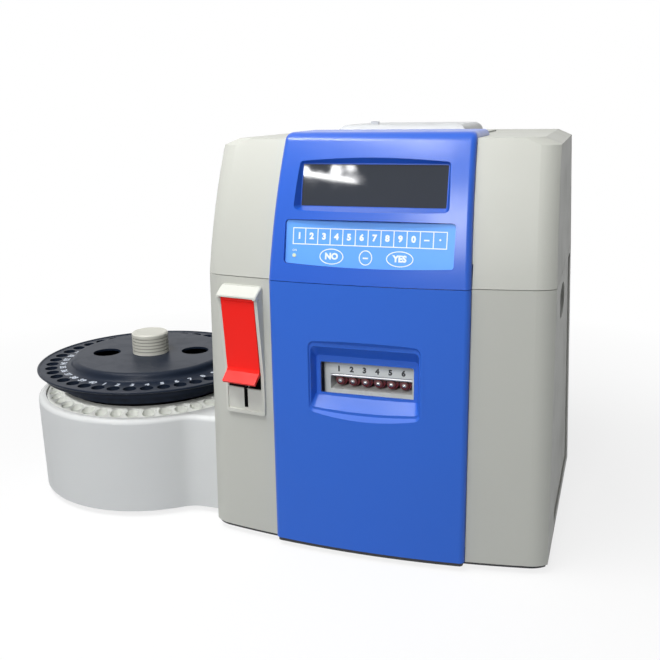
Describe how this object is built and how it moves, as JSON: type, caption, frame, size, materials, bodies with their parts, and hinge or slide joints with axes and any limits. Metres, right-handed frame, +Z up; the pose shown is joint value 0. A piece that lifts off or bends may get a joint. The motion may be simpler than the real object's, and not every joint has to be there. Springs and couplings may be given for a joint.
{
  "type": "electrolyte analyzer",
  "caption": "Benchtop electrolyte analyzer with a bowed front, hinged service door, sampling flap, top printer, side reagent pack and a rotary sampler with a lift-off cup disc.",
  "frame": {"origin": "on the bench, under the middle of the whole object's box", "axes": "+X to the right along the width, -Y is the front, +Z up"},
  "size_m": [0.5718, 0.2854, 0.3895],
  "materials": {
    "shell_grey": "satin",
    "strip_blue": "satin gloss",
    "keypad_film": "satin",
    "display_glass": "gloss",
    "flap_red": "gloss",
    "port_white": "satin",
    "disc_dark": "satin",
    "knob_white": "satin",
    "sampler_white": "satin",
    "cup_white": "satin",
    "lid_white": "satin",
    "dark_plastic": "matte",
    "cell_white": "satin",
    "electrode_body": "gloss",
    "steel": "brushed",
    "aluminium": "satin",
    "board_green": "satin",
    "paper": "matte",
    "rubber": "matte",
    "clear_tube": "gloss",
    "lamp": "gloss"
  },
  "bodies": {
    "analyser": {"base_tray": "dark_plastic", "feet": "rubber", "lower_housing": "shell_grey", "upper_housing": "shell_grey", "display_bezel": "strip_blue", "display_window": "display_glass", "lcd_module": "dark_plastic", "keypad": "keypad_film", "status_lamp": "lamp", "service_panel": "shell_grey", "electrode_cell": "cell_white", "electrodes": "electrode_body", "clamp_rod": "steel", "pump_motor": "aluminium", "pump_shoe": "dark_plastic", "valve_block": "cell_white", "tubing": "clear_tube", "port_frame": "port_white", "slot_guide": "dark_plastic", "flap_pin": "steel", "needle_pin": "steel", "printer_tray": "shell_grey", "lid_pins": "steel", "printer_works": "dark_plastic", "reagent_bay": "shell_grey", "bay_coupler": "dark_plastic", "main_board": "board_green", "board_standoffs": "steel", "power_supply": "aluminium", "rear_plate": "shell_grey", "mains_inlet": "dark_plastic", "switch_frame": "dark_plastic", "rocker_pin": "steel", "serial_port": "steel", "fan": "dark_plastic", "sampler_housing": "sampler_white", "sampler_base": "dark_plastic", "sampler_feet": "rubber", "spindle_bearing": "steel", "drive_motor": "aluminium"},
    "door": {"door": "strip_blue", "door_pins": "steel"},
    "flap": {"flap": "flap_red"},
    "needle": {"needle_arm": "steel"},
    "printer_lid": {"printer_lid": "lid_white"},
    "lid_latch": {"lid_latch": "lid_white"},
    "platen": {"platen": "rubber"},
    "paper": {"paper_roll": "paper", "roll_spindle": "port_white"},
    "pump_rotor": {"pump_rotor": "port_white"},
    "reagent_pack": {"reagent_pack": "shell_grey", "pack_nipples": "port_white"},
    "rocker": {"rocker": "dark_plastic"},
    "turntable": {"turntable": "port_white", "cup_ring": "cup_white"},
    "sample_disc": {"sample_disc": "disc_dark", "knob": "knob_white"}
  },
  "joints": [
    {"name": "door_hinge", "type": "hinge", "parent": "analyser", "child": "door", "pos_m": [0.21002, -0.13132, 0.13], "axis": [0, 0, 1], "range_deg": [0, 100]},
    {"name": "flap_hinge", "type": "hinge", "parent": "analyser", "child": "flap", "pos_m": [0.00588, -0.13342, 0.2375], "axis": [-0.9891, 0.1476, 0], "range_deg": [0, 55]},
    {"name": "needle_swing", "type": "hinge", "parent": "analyser", "child": "needle", "pos_m": [0.00762, -0.12175, 0.222], "axis": [-0.9891, 0.1476, 0], "range_deg": [0, 33]},
    {"name": "lid_hinge", "type": "hinge", "parent": "analyser", "child": "printer_lid", "pos_m": [0.12541, 0.08011, 0.38275], "axis": [-1, 0, 0], "range_deg": [0, 95]},
    {"name": "latch_slide", "type": "slide", "parent": "printer_lid", "child": "lid_latch", "axis": [0, 1, 0], "range_m": [0, 0.0025], "stiffness_N_per_m": 300},
    {"name": "platen_spin", "type": "hinge", "parent": "analyser", "child": "platen", "pos_m": [0.12541, 0.00571, 0.371], "axis": [1, 0, 0], "continuous": true},
    {"name": "paper_spin", "type": "hinge", "parent": "analyser", "child": "paper", "pos_m": [0.12541, 0.05071, 0.3525], "axis": [1, 0, 0], "continuous": true},
    {"name": "pump_spin", "type": "hinge", "parent": "analyser", "child": "pump_rotor", "pos_m": [0.16542, -0.10329, 0.084], "axis": [0, -1, 0], "continuous": true},
    {"name": "pack_slide", "type": "slide", "parent": "analyser", "child": "reagent_pack", "axis": [1, 0, 0], "range_m": [0, 0.118]},
    {"name": "rocker_tilt", "type": "hinge", "parent": "analyser", "child": "rocker", "pos_m": [0.06742, 0.13531, 0.046], "axis": [-1, 0, 0], "range_deg": [0, 10]},
    {"name": "turntable_spin", "type": "hinge", "parent": "analyser", "child": "turntable", "pos_m": [-0.16218, -0.00709, 0.1], "axis": [0, 0, 1], "continuous": true},
    {"name": "disc_lift", "type": "slide", "parent": "turntable", "child": "sample_disc", "axis": [0, 0, 1], "range_m": [0, 0.06]}
  ],
  "couplings": [
    {"joint": "needle_swing", "follows": "flap_hinge", "ratio": 0.6}
  ]
}
